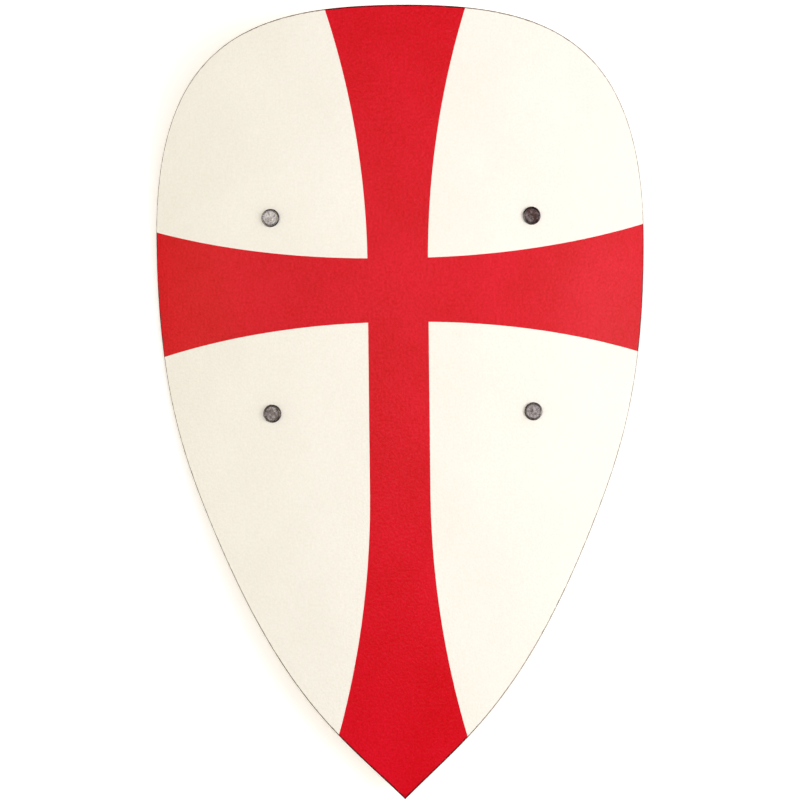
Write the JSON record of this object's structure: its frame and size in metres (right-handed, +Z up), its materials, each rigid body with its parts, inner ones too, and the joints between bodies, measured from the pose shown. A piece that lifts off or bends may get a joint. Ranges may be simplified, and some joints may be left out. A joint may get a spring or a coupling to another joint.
{
  "type": "kite shield",
  "caption": "Child's toy kite shield of bent plywood, painted cream with a red flared cross, with flat rivets holding elastic arm straps behind it.",
  "frame": {"origin": "on the floor that the shield lies on, under the middle of its length and width", "axes": "+Z up from the floor, out of the painted face; +Y from the tip towards the top; +X to the right as the painted face is seen with the top up"},
  "size_m": [0.325, 0.5194, 0.046],
  "materials": {
    "painted_plywood": "satin paint over birch plywood, cream with a red cross on the front, bare wood on the edge and the back",
    "rivet_steel": "nickel plated, lightly scratched",
    "webbing": "woven elastic webbing, matt"
  },
  "bodies": {
    "root": {"shield_board": "painted_plywood", "rivet_upper_left": "rivet_steel", "rivet_upper_right": "rivet_steel", "rivet_lower_left": "rivet_steel", "rivet_lower_right": "rivet_steel", "strap_left": "webbing", "strap_right": "webbing"}
  },
  "joints": []
}
